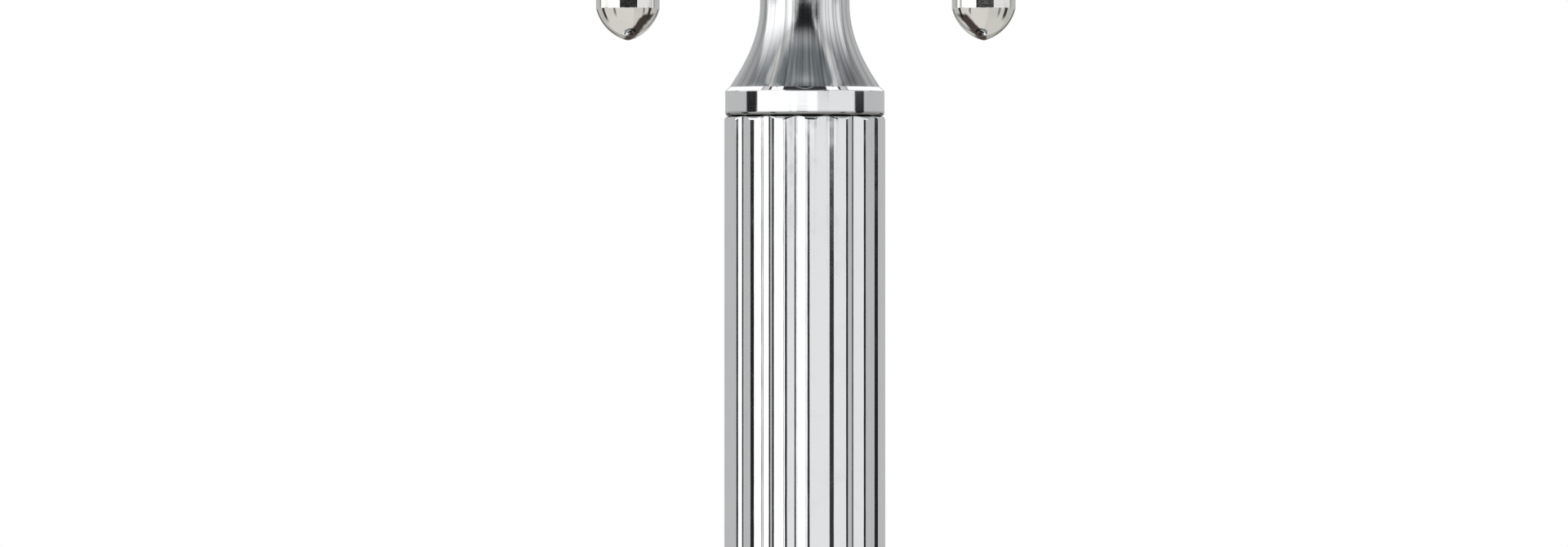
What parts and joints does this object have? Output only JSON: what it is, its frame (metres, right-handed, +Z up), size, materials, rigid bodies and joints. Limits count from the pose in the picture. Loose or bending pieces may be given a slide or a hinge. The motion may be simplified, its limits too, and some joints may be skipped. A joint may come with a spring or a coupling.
{
  "type": "razor stand",
  "caption": "Free-standing chromed razor stand: a weighted round base carries a fluted column with a swivelling forward fork that ends in acorn tips and holds a safety razor by its head.",
  "frame": {"origin": "centre of the base, on the surface that it stands on", "axes": "+Z up along the column; the fork reaches forward along -Y; +X is to the right as seen from the front"},
  "size_m": [0.076, 0.076, 0.1373],
  "materials": {
    "chrome": "polished chrome plate on brass",
    "tip_nickel": "polished plate, slightly warm",
    "bare_brass": "turned, unplated",
    "steel": "zinc plated",
    "ballast": "as cast, painted black",
    "pad": "matte",
    "nylon": "natural nylon"
  },
  "bodies": {
    "stand": {"base_pad": "pad", "base_weight": "ballast", "base_shell": "chrome", "column_foot": "chrome", "lower_ring": "chrome", "fluted_column": "chrome", "lower_bush": "bare_brass", "upper_bush": "bare_brass", "upper_ring": "chrome", "neck": "chrome", "tie_rod": "steel", "tie_nut": "steel", "tie_washer": "steel", "lower_swivel_washer": "nylon", "upper_swivel_washer": "nylon", "pivot_sleeve": "bare_brass"},
    "fork": {"fork_hub": "chrome", "prong_grub_screws": "steel", "left_prong": "chrome", "right_prong": "chrome", "left_tip": "tip_nickel", "right_tip": "tip_nickel"},
    "finial_knob": {"finial": "chrome"}
  },
  "joints": [
    {"name": "fork_swivel", "type": "hinge", "parent": "stand", "child": "fork", "pos_m": [0, 0, 0.1205], "axis": [0, 0, 1], "continuous": true},
    {"name": "finial_turn", "type": "hinge", "parent": "stand", "child": "finial_knob", "pos_m": [0, 0, 0.1253], "axis": [0, 0, 1], "range_deg": [0, 360]}
  ]
}
